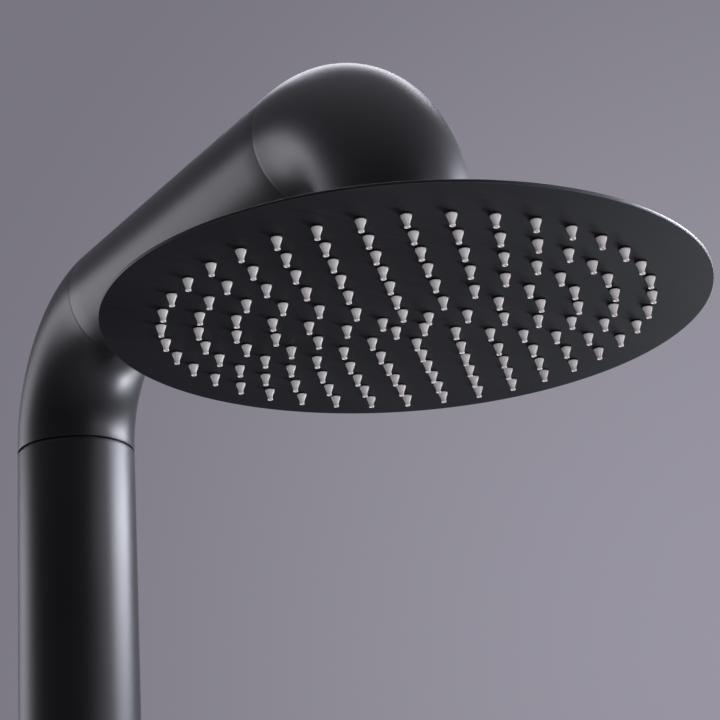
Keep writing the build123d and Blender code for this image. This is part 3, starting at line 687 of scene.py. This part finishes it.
def build_back():
    """The pressed back shell: a flat flange, a soft step and a shallow cone up to the hub."""
    flange_outer_r = (back_high.x - back_low.x) / 2
    flange_inner_r = flange_outer_r - back_flange_w
    hole_r = hub_thread_r + back_hole_gap
    outer_z = face_height(flange_outer_r) + face_t + hole_gap
    inner_z = face_height(flange_inner_r) + face_t + hole_gap
    crown_top = back_high.z
    crown_under = crown_top - back_t
    outline = [
        (flange_outer_r, outer_z),
        (flange_inner_r, inner_z),
        (flange_inner_r - back_t, inner_z + back_step),
        (back_crown_r, crown_under),
        (hole_r, crown_under),
        (hole_r, crown_top),
        (back_crown_r, crown_top),
        (flange_inner_r - back_t / 2, inner_z + back_step + back_t),
        (flange_inner_r + back_t, inner_z + back_t),
        (flange_outer_r, outer_z + back_t / 2),
    ]
    back = lathe("back_plate_fine", head_centre, soften(outline, back_round), plate_segments)
    dress(back, "head", "black_coated_tube", "back_plate")


build_face()
build_rim()
build_collars()
build_back()


# ---- Floor, world and lights -----------------------------------------------------------------
def floor_finish():
    """Plain pale paint with faint patches."""
    made = Finish("pale_floor", specular=0.3)
    patches = made.noise(0.6, 4.0)
    grain = made.noise(0.004, 2.0)
    made.colour(patches, (0.50, 0.495, 0.505), (0.55, 0.545, 0.555))
    made.roughness(patches, 0.6, 0.75)
    made.bump(grain, 0.1 * MM, 0.3)
    return made.material


def build_floor():
    """A plain pale floor."""
    floor_r = 9.0
    floor_t = 0.02
    outline = [(floor_r, -floor_t), (floor_r, 0)]
    floor = lathe("floor", Vector((0, 0, 0)), outline, floor_segments, closed=False)
    floor.data.materials.append(floor_finish())


def build_world():
    """A plain grey studio: a soft glow ahead on the right, brighter overhead, darker behind."""
    world = bpy.data.worlds.new("studio")
    bpy.context.scene.world = world
    world.use_nodes = True
    tree = world.node_tree
    background = tree.nodes["Background"]
    looked_at = tree.nodes.new("ShaderNodeTexCoord").outputs["Generated"]

    def along(axis):
        """How far the direction looked at points along an axis."""
        dot = tree.nodes.new("ShaderNodeVectorMath")
        dot.operation = "DOT_PRODUCT"
        dot.inputs[1].default_value = axis
        tree.links.new(looked_at, dot.inputs[0])
        return dot.outputs["Value"]

    def span(value, low, high, power=1.0):
        """A value between 0, at low, and 1, at high, raised to a power."""
        ranged = tree.nodes.new("ShaderNodeMapRange")
        ranged.inputs["From Min"].default_value = low
        ranged.inputs["From Max"].default_value = high
        tree.links.new(value, ranged.inputs["Value"])
        raised = tree.nodes.new("ShaderNodeMath")
        raised.operation = "POWER"
        raised.inputs[1].default_value = power
        tree.links.new(ranged.outputs["Result"], raised.inputs[0])
        return raised.outputs["Value"]

    def mix(fac, first, second):
        """A mix of two colours, each a colour or an output."""
        node = tree.nodes.new("ShaderNodeMix")
        node.data_type = "RGBA"
        tree.links.new(fac, node.inputs["Factor"])
        for socket, value in ((node.inputs[6], first), (node.inputs[7], second)):
            if isinstance(value, tuple):
                socket.default_value = (*value, 1)
            else:
                tree.links.new(value, socket)
        return node.outputs[2]

    plain_grey = (0.190, 0.181, 0.218)
    dark_grey = (0.072, 0.069, 0.081)
    glow_grey = (0.318, 0.305, 0.362)
    overhead_grey = (0.50, 0.49, 0.55)
    behind = direction(math.radians(-130), 0)
    glow = direction(math.radians(43.5), math.radians(10.5))
    wall = mix(span(along(behind), 0.2, 0.95), plain_grey, dark_grey)
    wall = mix(span(along(glow), 0.885, 1.0, 1.6), wall, glow_grey)
    wall = mix(span(along(UP), 0.56, 1.0), wall, overhead_grey)
    tree.links.new(wall, background.inputs["Color"])
    background.inputs["Strength"].default_value = 1.0


def softbox(name, heading, rise, distance, size, power, tint):
    """A soft panel aimed at the arm. Its heading and rise are in degrees, its power in watts."""
    away = direction(math.radians(heading), math.radians(rise))
    data = bpy.data.lights.new(name, "AREA")
    data.shape = "RECTANGLE"
    data.size, data.size_y = size
    data.energy = power
    data.color = tint
    light = bpy.data.objects.new(name, data)
    bpy.context.scene.collection.objects.link(light)
    aimed_at = Vector((0, -reach / 2, face_z))
    light.location = aimed_at + distance * away
    light.rotation_mode = "QUATERNION"
    light.rotation_quaternion = away.to_track_quat("Z", "Y")
    light.visible_camera = False
    return light


def build_lights():
    """A strong panel on the right, smaller ones below it, weak ones at the sides, a front fill."""
    softbox("key", -17, 19, 1.8, (1.25, 0.45), 47, (0.86, 0.88, 1.0))
    softbox("under", 8, -36, 1.7, (0.40, 0.34), 28, (0.90, 0.91, 1.0))
    softbox("left", 120, 3, 1.8, (1.1, 1.2), 12, (0.92, 0.91, 1.0))
    softbox("wing", -68, 14, 1.8, (1.0, 0.9), 5, (0.90, 0.90, 1.0))
    softbox("top", 50, 50, 2.2, (1.4, 0.5), 13, (0.90, 0.89, 1.0))
    softbox("low", 22, -20, 2.2, (1.0, 0.5), 10, (0.90, 1.0, 1.0))
    front = softbox("front", -84, -18, 1.6, (1.2, 1.0), 12, (1.0, 0.99, 0.99))
    front.visible_glossy = False


build_floor()
build_world()
build_lights()
bpy.context.scene.view_settings.view_transform = "Standard"
